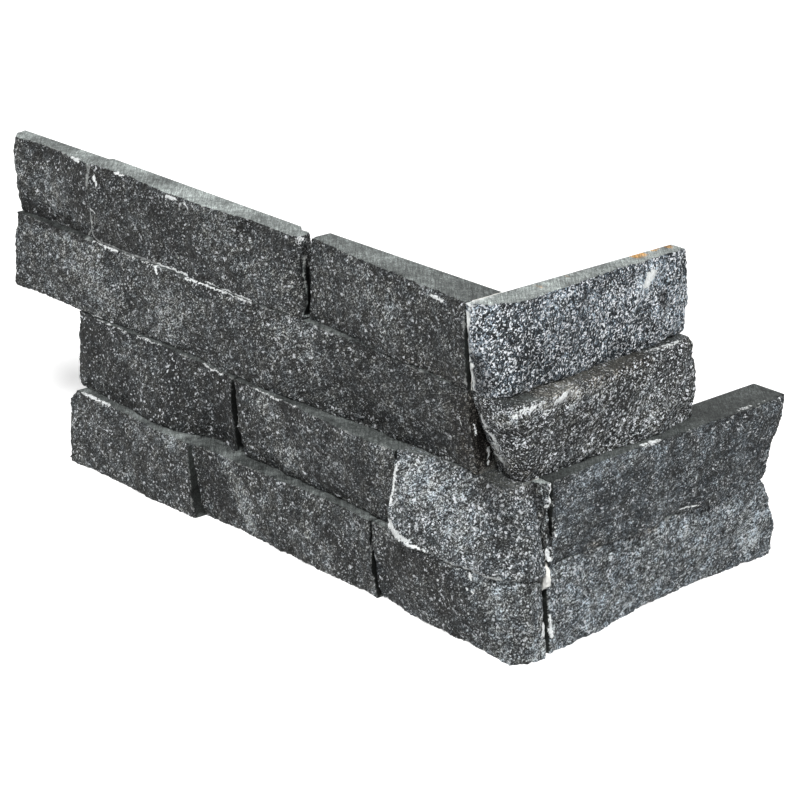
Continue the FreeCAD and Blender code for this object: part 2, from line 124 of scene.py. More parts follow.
OUT_LEFT = Vector((0.0, -1.0, 0.0))
OUT_RIGHT = Vector((1.0, 0.0, 0.0))

# A stone's finish, where its own row in STONES says nothing else.
# flakes: share of bright mica grains; grain: their size in mm; shine: how bright they are,
# partly as a painted glint; blue: how much bluer than neutral; slivers: share of long bright
# grains, also partly painted glint; swing: how strong the contrast of the split face is;
# patches: strength of its large light and dark patches; sawn: how light the sawn faces are;
# ledge: how much of its top is as rough as the face; end: how light its smooth ends are,
# painted dark as the shade in the joints, or 0 where they are rough
FINISH = dict(flakes=0.06, grain=0.95, flake_and_painted_glint_light=0.70, blue=0.0, slivers=0.0, swing=1.0,
              patches=3.4, sawn=0.1185, ledge=0.0, end=0.0222)

# Every stone. out: which way its split face looks; tone: how light that face is, partly its own
# colour and partly painted light: the right leg's faces are painted lighter, the left leg's
# darker, than the lamps make them; lean: slope of its grain in degrees
STONES = {
    "course1_left_stone_a": dict(
        out=OUT_LEFT, slot="dark_stone", tone=0.57, lean=35, sawn=0.242),
    # Its smooth end is painted nearly black: painted shade in the gap beside the next stone
    "course1_left_stone_b": dict(
        out=OUT_LEFT, slot="dark_stone", tone=0.60, lean=40, sawn=0.276, swing=1.1,
        end=0.0044),
    "course1_left_stone_c": dict(
        out=OUT_LEFT, slot="dark_stone", tone=0.89, lean=50, sawn=0.163, swing=1.1),
    "course1_right_stone": dict(
        out=OUT_RIGHT, slot="bright_stone", tone=1.29, lean=-70, sawn=0.30, swing=1.15,
        flakes=0.08, flake_and_painted_glint_light=1.0, slivers=0.24, blue=0.13),
    "course2_left_stone": dict(
        out=OUT_LEFT, slot="dark_stone", tone=0.86, lean=30, swing=1.1, ledge=0.5, end=0.0),
    "course2_right_stone": dict(
        out=OUT_RIGHT, slot="dark_stone", tone=0.97, lean=-35, sawn=0.0667, swing=1.3,
        ledge=0.9, flakes=0.06, flake_and_painted_glint_light=1.0, slivers=0.13),
    "course3_left_stone_a": dict(
        out=OUT_LEFT, slot="dark_stone", tone=0.48, lean=55, sawn=0.0963, ledge=0.3,
        end=0.0104),
    "course3_left_stone_b": dict(
        out=OUT_LEFT, slot="dark_stone", tone=0.74, lean=60, sawn=0.1037, ledge=0.25,
        end=0.0089),
    "course3_left_stone_c": dict(
        out=OUT_LEFT, slot="light_stone", tone=1.71, lean=40, ledge=0.9, patches=1.9,
        flakes=0.12, flake_and_painted_glint_light=0.85, blue=0.04),
    "course3_right_stone": dict(
        out=OUT_RIGHT, slot="fine_stone", tone=1.17, lean=-20, sawn=0.068, swing=0.9,
        flakes=0.05, grain=0.7, blue=0.06),
    "course4_left_stone_a": dict(
        out=OUT_LEFT, slot="dark_stone", tone=0.72, lean=45, sawn=0.1185, swing=0.95,
        ledge=0.35, end=0.0252),
    "course4_left_stone_b": dict(
        out=OUT_LEFT, slot="dark_stone", tone=0.82, lean=60, sawn=0.097, ledge=0.4,
        end=0.0074),
    "course4_left_stone_c": dict(
        out=OUT_LEFT, slot="dark_stone", tone=0.71, lean=50, swing=1.1, ledge=0.3,
        blue=0.03),
    "course4_right_stone": dict(
        out=OUT_RIGHT, slot="dark_stone", tone=2.56, lean=-25, ledge=0.4, patches=2.2,
        flakes=0.07, blue=0.06),
}
SLIVER_LOOK = dict(out=OUT_RIGHT, tone=1.5, lean=70, sawn=0.24, swing=1.2)

# Marks on the stones: kind, half width in mm, strength, then the points in mm of the line
# that it follows, or the one point that it lies about.
# white: chips and bruises; line: a thin pale line; vein: a band of bright grains;
# brown: dust; rust: iron stain; dark: pits, cracks, dirt and dark patches, and painted shade in
# the gaps at some stones' ends
MARKS = {
    "course1_left_stone_a": [
        ("white", 0.8, 1.0, (-286, -13, 152), (-278, -14, 152)),
        ("line", 0.35, 0.4, (-269.5, -14, 152), (-269.5, -15, 135), (-273, -13, 120),
         (-277, -11, 115)),
        ("vein", 9.0, 0.6, (-330, -12, 140), (-300, -12, 128)),
        ("dark", 5.0, 0.5, (-330, -12, 115), (-290, -11, 115)),
    ],
    "course1_left_stone_b": [
        ("white", 1.0, 1.0, (-265, -15, 147), (-263, -15, 144)),
        ("white", 0.6, 1.0, (-268, -15, 131), (-266, -15, 129)),
        ("white", 0.8, 0.9, (-250, -13, 152), (-244, -13, 152)),
        ("white", 0.8, 1.1, (-205, -16, 151), (-198, -16, 151)),
        ("white", 0.8, 1.1, (-193, -16, 151), (-190, -16, 148)),
        ("line", 0.4, 0.4, (-269.5, -15, 151), (-269.5, -14, 132), (-269, -13, 117),
         (-262, -13, 114)),
        ("line", 0.4, 0.3, (-262, -13, 115), (-217, -13, 115)),
        # Painted shade: the gap at this stone's end, darkened
        ("dark", 1.6, 1.5, (-111.2, -10.5, 148), (-111.2, -10.5, 119)),
        ("white", 0.6, 1.0, (-217, -13, 115), (-195, -13, 115)),
        ("white", 0.6, 0.9, (-181, -13, 115), (-147, -13, 115)),
        ("white", 1.2, 0.7, (-113, -14, 152), (-113, -13, 149)),
        ("vein", 9.0, 0.55, (-195, -8, 152), (-165, -8, 152)),
        ("vein", 10.0, 0.5, (-150, -15, 135), (-125, -15, 120)),
        ("dark", 12.0, 0.45, (-250, -14, 145), (-215, -14, 140)),
        ("dark", 8.0, 0.5, (-262, -14, 118), (-235, -14, 120)),
        ("dark", 0.7, 1.3, (-216, -14, 119), (-218, -14, 115)),
    ],
    "course1_left_stone_c": [
        ("white", 0.7, 1.0, (-109, -10, 132)),
        ("white", 1.0, 0.9, (-22, -19, 150), (-16, -19, 149)),
        ("vein", 8.0, 0.4, (-80, -14, 128), (-55, -14, 140)),
        ("brown", 7.0, 0.5, (-40, -15, 116), (-8, -18, 116)),
        ("dark", 8.0, 0.6, (-14, -19, 122), (-4, -19, 118)),
        ("dark", 10.0, 0.35, (-105, -10, 120), (-80, -12, 118)),
    ],
    "course1_right_stone": [
        ("line", 0.34, 1.2, (1, -19.6, 151), (0.5, -19.2, 141), (0.5, -18.6, 132),
         (1, -18, 120), (2, -17, 115)),
        ("line", 0.4, 1.2, (1, -20, 152), (0, -16, 152), (0, -7, 152)),
        ("white", 1.9, 1.35, (10, 73, 142), (10, 76, 145), (9, 78, 146)),
        ("vein", 4.5, 1.0, (10, 72, 142), (9, 80, 146)),
        ("dark", 2.2, 1.7, (11, 84, 135), (11, 84, 132)),
        ("dark", 3.2, 0.9, (4, -19, 128), (6, -19, 122), (7, -18, 117)),
        ("dark", 12.0, 0.3, (15, 5, 130), (12, 25, 135)),
        ("rust", 1.9, 1.0, (1, 74, 152), (1, 79, 152)),
        ("rust", 1.2, 0.7, (0.5, 86, 152), (0.5, 89, 152)),
        ("rust", 1.4, 1.0, (1, 94, 152), (1, 96, 152)),
        ("rust", 2.4, 0.5, (4, 16, 152)), ("rust", 1.6, 0.5, (2, 34, 152)),
    ],
    "course2_left_stone": [
        ("dark", 3.0, 0.9, (-334, -14, 114), (-309, -12, 114), (-279, -11, 114)),
        ("white", 0.6, 0.9, (-269, -14, 114), (-250, -14, 114)),
        ("white", 0.5, 0.6, (-250, -14, 114), (-217, -14, 114)),
        ("white", 0.8, 1.0, (-217, -14, 114), (-216, -15, 111)),
        ("white", 0.6, 0.9, (-195, -14, 114), (-147, -14, 114)),
        ("white", 0.6, 0.9, (-271, -16, 77), (-250, -15, 77)),
        ("vein", 9.0, 0.55, (-290, -15, 108), (-255, -15, 90)),
        ("vein", 10.0, 0.45, (-205, -15, 95), (-180, -15, 100)),
        ("dark", 16.0, 0.35, (-160, -14, 95), (-140, -14, 88)),
        ("dark", 22.0, 0.5, (-75, -15, 92), (-25, -16, 98)),
        # Painted shade: the dark marks at this end, in the slot beside the right leg's stone
        ("dark", 7.0, 0.7, (-7, -18, 108), (-8, -17, 90)),
        ("brown", 9.0, 0.9, (-3, -14, 104), (-3, -12, 80)),
        ("dark", 0.8, 1.6, (-1, -11, 101), (-1, -11, 95), (-1, -10, 89), (-1, -8, 81)),
        ("white", 0.25, 1.0, (-7, -17, 104), (-6, -16, 97)),
        ("white", 0.25, 1.0, (-1, -14, 99), (-1, -13, 94)),
        ("white", 0.3, 1.3, (-1, -6, 87), (-1, -6, 79)),
    ],
    "course2_right_stone": [
        ("line", 0.36, 1.2, (3, -16, 106), (3, -14.3, 104), (6, -14, 99), (8, -12, 94),
         (8, -10, 88), (6, -5, 81)),
        ("vein", 3.5, 1.3, (20, -15, 107), (26, -10, 112), (27, -2, 112), (24, 18, 113)),
        ("white", 1.5, 0.7, (22, -14, 109), (26, -10, 112)),
        ("white", 1.6, 0.75, (26, -9, 112), (27, -4, 113)),
        ("white", 1.3, 0.7, (27, -1, 108), (26, 2, 108)),
        ("white", 1.4, 0.75, (26, 6, 111), (25, 12, 113)), ("white", 1.2, 0.7, (24, 18, 113)),
        ("white", 0.8, 1.1, (20, 58, 103)), ("white", 0.8, 1.0, (22, 35, 106)),
        ("brown", 5.0, 0.9, (19, 3, 114), (17, 40, 114), (16, 64, 114)),
        ("white", 0.8, 0.8, (14, 71, 114), (14, 91, 114)),
        ("dark", 9.0, 0.4, (20, 15, 95), (19, 60, 100)),
        ("brown", 6.0, 0.5, (6, -6, 84), (13, -6, 80), (19, 1, 79)),
        ("dark", 5.0, 0.6, (6, -5, 79), (13, -6, 77), (18, -2, 77)),
    ],
    "course3_left_stone_a": [
        ("white", 0.5, 0.7, (-264, -16, 76), (-242, -16, 76)),
        ("white", 0.5, 0.7, (-233, -15, 76), (-214, -15, 76)),
        ("white", 0.7, 0.9, (-182, -16, 76), (-167, -17, 75)),
        ("vein", 8.0, 0.45, (-240, -16, 66), (-215, -17, 58)),
        ("dark", 0.9, 1.3, (-185, -13, 41), (-174, -13, 43), (-164, -13, 42)),
        ("dark", 12.0, 0.35, (-190, -17, 62), (-170, -15, 52)),
    ],
    "course3_left_stone_b": [
        ("white", 0.6, 0.7, (-146, -18, 76), (-112, -19, 76)),
        ("vein", 7.0, 0.8, (-135, -17, 70), (-128, -16, 60), (-122, -16, 50)),
        ("dark", 12.0, 0.35, (-100, -17, 55), (-65, -17, 60)),
        ("dark", 1.5, 1.0, (-62, -15, 39), (-59, -15, 40), (-56, -15, 39)),
    ],
    "course3_left_stone_c": [
        ("white", 0.8, 0.95, (-43, -20, 72), (-45, -19, 56), (-47, -19, 46), (-47, -20, 41)),
        ("white", 2.1, 1.2, (-47, -20, 43), (-43, -21, 40), (-38, -22, 40)),
        ("white", 1.2, 1.05, (-38, -22, 40), (-30, -24, 40)),
        ("white", 0.8, 1.0, (-30, -24, 39), (-19, -24, 39)),
        ("line", 0.5, 0.4, (-12, -23, 38), (1, -23, 39), (12, -22, 39), (21, -19, 39)),
        ("vein", 9.0, 0.45, (-30, -20, 66), (0, -20, 56)),
        ("dark", 6.0, 0.5, (15, -17, 70), (20, -12, 58)),
        ("dark", 1.3, 1.8, (20, -1, 76), (21, 0, 73), (22.5, 1, 65), (23.5, 2, 60)),
        ("brown", 5.0, 0.5, (3, -12, 76), (12, -13, 76), (18, -9, 76)),
        ("dark", 5.0, 0.5, (0, -12, 76), (12, -12, 76)),
    ],
    "course3_right_stone": [
        ("white", 0.7, 0.8, (20, 124, 76), (20, 150, 75)),
        ("white", 0.9, 1.1, (21, 119, 75)), ("white", 0.9, 1.1, (21, 91, 75)),
        ("white", 0.9, 1.1, (22, 116, 73)),
        ("white", 0.7, 0.9, (20, 63, 76), (21, 73, 76)),
        ("vein", 7.0, 0.4, (19, 25, 76), (19, 55, 76)),
        ("vein", 9.0, 0.3, (25, 12, 62), (25, 14, 54), (24, 26, 44)),
        ("line", 0.25, 1.0, (25, 5.6, 76), (25, 5.6, 63)),
        ("dark", 1.6, 1.4, (25, 6, 57), (25, 6, 52)),
        ("white", 0.7, 1.1, (26, 8, 57), (26, 8, 52)),
        ("brown", 1.4, 0.8, (24, 28, 40), (24, 36, 40)),
        ("white", 0.6, 0.7, (23, 58, 40), (21, 79, 40), (23, 97, 40)),
    ],
    "course4_left_stone_a": [
        ("white", 0.7, 0.9, (-273, -22, 38), (-249, -22, 38)),
        ("vein", 4.0, 0.7, (-208, -24, 37), (-194, -24, 37)),
        ("vein", 8.0, 0.4, (-255, -24, 20), (-235, -24, 12)),
    ],
    "course4_left_stone_b": [
        ("vein", 5.0, 1.2, (-160, -21, 37), (-152, -19, 24), (-148, -16, 7)),
        ("vein", 9.0, 0.45, (-110, -17, 12), (-95, -16, 10)),
        ("dark", 8.0, 0.6, (-172, -20, 28), (-166, -18, 12)),
    ],
    "course4_left_stone_c": [
        ("white", 0.7, 1.3, (-15, -22, 27)), ("white", 0.7, 1.2, (4, -21, 37), (5, -21, 34)),
        ("white", 0.7, 1.3, (3, -21, 29)), ("white", 0.7, 1.2, (6, -21, 28)),
        ("white", 0.7, 1.3, (2, -20, 17)),
        ("vein", 2.5, 0.8, (-12, -22, 37), (7, -22, 37), (21, -19, 36)),
        ("vein", 4.0, 0.9, (17, -18, 13), (18, -16, 7)),
        ("vein", 10.0, 1.1, (24, -14, 30), (26, -10, 15), (24, -10, 4)),
        ("white", 0.7, 1.1, (28, -1, 19), (29, -1, 10)),
        ("brown", 12.0, 0.4, (-45, -18, 25), (-15, -20, 22)),
        ("dark", 0.8, 1.2, (-58, -19, 38), (-50, -20, 38)),
    ],
    "course4_right_stone": [
        ("brown", 2.0, 0.8, (24, 55, 37), (23, 70, 37)),
        ("vein", 4.5, 0.75, (21, 130, 16), (21, 138, 12)),
        ("dark", 12.0, 0.2, (21, 118, 13), (21, 140, 6)),
        ("white", 0.7, 1.0, (26, 5, 17), (27, 5, 8)),
    ],
    "corner_sliver": [
        ("white", 0.8, 1.3, (24.5, 5.2, 75), (24.5, 5.2, 66)),
        ("white", 0.8, 1.1, (23.5, 4, 65.5)),
        ("dark", 1.2, 1.8, (20.5, 0.3, 75), (21, 0.8, 69), (22, 1.8, 65), (23, 3, 63)),
        ("dark", 1.6, 1.3, (25, 5.5, 57), (26, 5.5, 51)),
        ("white", 1.3, 1.4, (27, 2, 46.5), (27, 3, 43)),
    ],
}

# Camera: where it stands and which way it looks, in degrees and millimetres
CAMERA_AZIMUTH = 48.736
CAMERA_ELEVATION = 20.769
CAMERA_DISTANCE = 1018.11
CAMERA_TARGET = (-27.17, -30.97, 106.32)
CAMERA_LENS = 112.68

# Lamps: direction from the object to the lamp, strength, and width in degrees
LAMPS = {"key": ((0.50, -0.42, 0.78), 3.1, 18), "fill": ((-0.6, -0.75, 0.55), 0.47, 40)}
WORLD_LIGHT = 0.16              # the world's light on the object; where it is seen it is white
FLOOR_HALF = 6.0                # half the floor's width, in metres
FLOOR_GREY = (0.62, 0.62, 0.62, 1.0)            # as the object's light finds it
FLOOR_SEEN = (0.9, 0.9, 0.9, 1.0)               # as it is seen
FLOOR_GLOW = 0.53                               # added where it is seen


def clear_noise(point, recipe):
    """Fractal noise at a point, by one of the recipes above."""
    size, octaves, height = recipe
    return height * noise.fractal(point / size, 1.0, 2.0, octaves)


def place_in_noise(seed):
    """A stone's own place in the noise."""
    return Vector([random.Random(seed + axis).uniform(0, PLACES) for axis in "xyz"])


def within_cad_box(points):
    low, high = (np.array(corner) / MM for corner in CAD_BOX)
    return np.clip(points, low, high)


def cad_triangles(node):
    """A node's welded points, in millimetres, and its triangles."""
    mesh = bmesh.new()
    mesh.from_mesh(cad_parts[node].data)
    bmesh.ops.remove_doubles(mesh, verts=mesh.verts, dist=WELD * MM)
    bmesh.ops.triangulate(mesh, faces=mesh.faces)
    mesh.verts.index_update()
    points = np.array([tuple(v.co) for v in mesh.verts]) / MM
    triangles = np.array([[v.index for v in f.verts] for f in mesh.faces])
    mesh.free()
    return points, triangles


def triangle_normals(points, triangles):
    a, b, c = (points[triangles[:, corner]] for corner in range(3))
    normals = np.cross(b - a, c - a)
    return normals / np.maximum(np.linalg.norm(normals, axis=1, keepdims=True), 1e-12)


def sawn_groups(points, triangles, out):
    """The sawn faces: a list of (normal, triangle numbers), and the split triangles."""
    normals = triangle_normals(points, triangles)
    facing = normals @ np.array(out)
    sawn = (np.abs(normals[:, 2]) > 1 - FLAT) | (np.abs(facing) < FLAT) | (facing < BACKWARD)
    groups = {}
    for number in np.nonzero(sawn)[0]:
        normal = normals[number]
        offset = normal @ points[triangles[number, 0]]
        key = tuple(np.round(normal, 2) + 0.0) + (round(float(offset), 1),)
        groups.setdefault(key, []).append(number)
    return [(normals[members[0]], members) for members in groups.values()], np.nonzero(~sawn)[0]


class Surface:
    """A stone's surface, refined from its CAD triangles into one closed mesh."""

    def __init__(self, node, out):
        self.corners, self.triangles = cad_triangles(node)
        self.groups, self.split = sawn_groups(self.corners, self.triangles, out)
        self.points = [tuple(point) for point in self.corners]
        self.faces = []
        self.face_sawn = []         # for each face, whether it lies on a sawn face
        self.face_end = []          # and whether that is an end of the stone
        self.edge_points = {}       # point numbers along each divided CAD edge
        self.arris = set()          # points between a split and a sawn face
        split_edges = self.edges_of(self.split)
        sawn_edges = self.edges_of([n for _, members in self.groups for n in members])
        for edge in sorted(split_edges | sawn_edges):
            self.divide_edge(edge, edge in split_edges, edge in sawn_edges)
        for number in self.split:
            self.fill_split(self.triangles[number])
        for normal, members in self.groups:
            is_end = abs(normal[2]) < 0.5 and normal @ np.array(out) > BACKWARD
            self.fill_sawn(Vector(normal), members, is_end)
        self.points = np.array(self.points)
        self.faces = np.array(self.faces)
        self.face_sawn = np.array(self.face_sawn)
        self.face_end = np.array(self.face_end)

    def edges_of(self, numbers):
        return {tuple(sorted((int(t[i]), int(t[(i + 1) % 3]))))
                for t in self.triangles[numbers] for i in range(3)}

    def add(self, point):
        self.points.append(tuple(point))
        return len(self.points) - 1

    def divide_edge(self, edge, on_split, on_sawn):
        a, b = (np.array(self.points[end]) for end in edge)
        if on_split:
            parts = SPLIT_PARTS
        else:
            parts = max(1, math.ceil(np.linalg.norm(b - a) / SAWN_EDGE))
        inner = [self.add(a + (b - a) * part / parts) for part in range(1, parts)]
        self.edge_points[edge] = [edge[0]] + inner + [edge[1]]
        if on_split and on_sawn:
            self.arris.update(self.edge_points[edge])

    def along(self, a, b):
        """Point numbers from corner a to corner b."""
        a, b = int(a), int(b)
        numbers = self.edge_points[tuple(sorted((a, b)))]
        return numbers if a < b else numbers[::-1]

    def fill_split(self, triangle):
        """Divide a facet into SPLIT_PARTS rows of small triangles."""
        a, b, c = (np.array(self.points[corner]) for corner in triangle)
        base = self.along(triangle[0], triangle[1])
        left = self.along(triangle[0], triangle[2])
        right = self.along(triangle[1], triangle[2])
        rows = [base]
        for j in range(1, SPLIT_PARTS):
            row = [left[j]]
            for i in range(1, SPLIT_PARTS - j):
                row.append(self.add(a + (b - a) * i / SPLIT_PARTS + (c - a) * j / SPLIT_PARTS))
            rows.append(row + [right[j]])
        rows.append([int(triangle[2])])
        for low, high in zip(rows, rows[1:]):
            for i in range(len(high)):
                self.faces.append((low[i], low[i + 1], high[i]))
                if i + 1 < len(high):
                    self.faces.append((low[i + 1], high[i + 1], high[i]))
        self.face_sawn += [False] * (SPLIT_PARTS ** 2)
        self.face_end += [False] * (SPLIT_PARTS ** 2)

    def fill_sawn(self, normal, members, is_end):
        """Triangulate a flat sawn face afresh, finely beside the arris."""
        # An edge of one triangle only lies on the rim
        counts = {}
        for triangle in self.triangles[members]:
            for i in range(3):
                edge = tuple(sorted((int(triangle[i]), int(triangle[(i + 1) % 3]))))
                counts[edge] = counts.get(edge, 0) + 1
        rim = [self.edge_points[edge] for edge, count in counts.items() if count == 1]
        across = normal.orthogonal().normalized()
        if abs(normal.z) < 0.5:
            across = Vector((0, 0, 1)).cross(normal).normalized()
        up = normal.cross(across)
        axes = np.array([across, up])
        numbers = sorted({number for piece in rim for number in piece})
        place = {number: order for order, number in enumerate(numbers)}
        flat = np.array([self.points[number] for number in numbers]) @ axes.T
        edges = [(place[a], place[b]) for piece in rim for a, b in zip(piece, piece[1:])]
        inner = self.inner_points(numbers, flat, edges)
        level = float(np.array(self.points[numbers[0]]) @ np.array(normal))
        coordinates = [Vector(xy) for xy in np.vstack([flat, inner])]
        made = delaunay_2d_cdt(coordinates, edges, [], 1, 1e-5)
        spots, triangles, sources = made[0], made[2], made[3]
        names = []
        for spot, source in zip(spots, sources):
            old = [number for number in source if number < len(numbers)]
            if old:
                names.append(numbers[old[0]])
            else:
                names.append(self.add(across * spot.x + up * spot.y + normal * level))
        for triangle in triangles:
            self.faces.append(tuple(names[corner] for corner in triangle))
        self.face_sawn += [True] * len(triangles)
        self.face_end += [is_end] * len(triangles)

    def inner_points(self, numbers, flat, edges):
        """Grid points inside a sawn face: close together near the arris only.

        A point is inside where an odd number of the rim's edges lies to its right.
        """
        near = kdtree.KDTree(len(numbers))
        for order, xy in enumerate(flat):
            near.insert((xy[0], xy[1], 0), order)
        near.balance()
        low, high = flat.min(0), flat.max(0)
        starts = flat[[edge[0] for edge in edges]]
        ends = flat[[edge[1] for edge in edges]]
        found = []
        for spacing, fine in ((SAWN_FINE, True), (SAWN_COARSE, False)):
            for row, y in enumerate(np.arange(low[1] + spacing / 2, high[1], spacing)):
                crossing = (starts[:, 1] > y) != (ends[:, 1] > y)
                span = ends[crossing] - starts[crossing]
                rise = y - starts[crossing][:, 1]
                cuts = starts[crossing][:, 0] + rise * span[:, 0] / span[:, 1]
                shift = spacing / 2 * (row % 2)
                for x in np.arange(low[0] + spacing / 2 + shift, high[0], spacing):
                    if np.count_nonzero(cuts > x) % 2 == 0:
                        continue
                    _, order, distance = near.find((x, y, 0))
                    close = numbers[order] in self.arris and distance < FINE_BAND
                    if distance > spacing * 0.5 and close == fine:
                        found.append((x, y))
        return np.array(found).reshape(-1, 2)


def neighbour_sum(count, faces, values):
    """For each point, the sum of values over the corners it shares an edge with."""
    total = np.zeros((count, values.shape[1]))
    for a, b in ((0, 1), (1, 2), (2, 0)):
        for column in range(values.shape[1]):
            total[:, column] += np.bincount(faces[:, a], values[faces[:, b], column], count)
            total[:, column] += np.bincount(faces[:, b], values[faces[:, a], column], count)
    return total


def smooth(points, faces, free, passes):
    """Soften the creases between facets; points that aren't free stay put."""
    count = len(points)
    weight = neighbour_sum(count, faces, np.ones((count, 1)))
    for _ in range(passes):
        mean = neighbour_sum(count, faces, points) / np.maximum(weight, 1)
        points = np.where(free[:, None], points * 0.5 + mean * 0.5, points)
    return points


def point_normals(points, faces, keep):
    """Unit normals at the points, from the faces that keep marks."""
    faces = faces[keep]
    a, b, c = (points[faces[:, corner]] for corner in range(3))
    area = np.cross(b - a, c - a)
    total = np.zeros_like(points)
    for corner in range(3):
        for column in range(3):
            total[:, column] += np.bincount(faces[:, corner], area[:, column], len(points))
    length = np.linalg.norm(total, axis=1, keepdims=True)
    return total / np.maximum(length, 1e-9)


def stretched(look, along, up=1.0):
    """Factors along the length of the stone's face and up it."""
    return (along, 1.0, up) if look["out"].y < 0 else (1.0, along, up)


def ridge_space(place, look):
    """Turn and stretch a place, so that noise there has ridges along the strokes."""
    axis = "Y" if look["out"].y < 0 else "X"
    turned = Matrix.Rotation(math.radians(look["lean"]), 3, axis) @ place
    return turned * Vector(stretched(look, RIDGE_STRETCH))


def split_roughness(place, look, distance):
    """How far a split face stands out, at a distance from the nearest arris."""
    rough = clear_noise(place, LUMPS) + clear_noise(place, GRAINS) - SPLIT_SINK
    rough += clear_noise(ridge_space(place, look), RIDGES)
    return rough * min(1.0, ARRIS_CALM + distance / CALM_BAND)


def chip_depth(arris_place, distance):
    """Depth of the chip at a place on an arris, and how much of it is left at a distance."""
    bite = CHIP_LEVEL + clear_noise(arris_place, CHIPS)
    bite += clear_noise(arris_place, CHIPPED_STRETCHES)
    bite = max(bite, 0.0) * CHIP_DEPTH
    return bite, max(0.0, 1.0 - distance / (0.5 + bite * 1.8))


def weather(surface, seed, look):
    """Roughen the split face and chip its arrises. Returns points and attributes."""
    points, faces = surface.points, surface.faces
    on_arris = np.zeros(len(points), bool)
    on_arris[sorted(surface.arris)] = True
    on_split = np.zeros(len(points), bool)
    on_split[faces[~surface.face_sawn].ravel()] = True
    on_sawn = np.zeros(len(points), bool)
    on_sawn[faces[surface.face_sawn].ravel()] = True
    points = smooth(points, faces[~surface.face_sawn], on_split & ~on_sawn, SMOOTH_PASSES)
    split_normals = point_normals(points, faces, ~surface.face_sawn)
    sawn_normals = point_normals(points, faces, surface.face_sawn)

    tree = kdtree.KDTree(int(on_arris.sum()))
    for number in np.nonzero(on_arris)[0]:
        tree.insert(points[number], int(number))
    tree.balance()
    shift = place_in_noise(seed)
    chips = np.zeros(len(points))
    moved = points.copy()
    for number in np.nonzero(on_split | on_sawn)[0]:
        spot = Vector(points[number])
        arris_spot, arris_number, distance = tree.find(spot)
        place = spot + shift
        if on_split[number] and not on_arris[number]:
            moved[number] += split_normals[number] * split_roughness(place, look, distance)
        if distance > CHIP_REACH:
            continue
        # A chip takes stone off both sides of the arris
        bite, left = chip_depth(Vector(arris_spot) + shift, distance)
        inward = Vector(split_normals[arris_number] + sawn_normals[arris_number])
        moved[number] -= np.array(inward) * bite * left * 0.7
        chips[number] = min(1.0, bite * left * 1.6)
        if on_arris[number]:
            ragged = clear_noise(place, RAGGED_ARRIS) - ARRIS_SINK
            moved[number] += split_normals[number] * min(ragged, 0.0)
    end = np.zeros(len(points))
    end[faces[surface.face_end].ravel()] = 1.0
    end[faces[~surface.face_end].ravel()] = 0.0
    sawn = np.where(on_arris, 0.5, np.where(on_sawn, 1.0, 0.0))
    return within_cad_box(moved), dict(sawn=sawn, chip=chips, end=end)


def make_mesh(name, points, faces, attributes):
    """An object from points in millimetres and triangles, with a value per point of each kind."""
    mesh = bpy.data.meshes.new(name)
    mesh.vertices.add(len(points))
    mesh.vertices.foreach_set("co", (points * MM).astype(np.float32).ravel())
    mesh.loops.add(faces.size)
    mesh.loops.foreach_set("vertex_index", faces.astype(np.int32).ravel())
    mesh.polygons.add(len(faces))
    mesh.polygons.foreach_set("loop_start", np.arange(0, faces.size, 3, dtype=np.int32))
    mesh.update(calc_edges=True)
    mesh.validate()
    for key, values in attributes.items():
        layer = mesh.attributes.new(key, "FLOAT", "POINT")
        layer.data.foreach_set("value", values.astype(np.float32))
    mesh.polygons.foreach_set("use_smooth", [True] * len(mesh.polygons))
    mesh.set_sharp_from_angle(angle=math.radians(SHARP_ANGLE))
    piece = bpy.data.objects.new(name, mesh)
    bpy.context.scene.collection.objects.link(piece)
    return piece


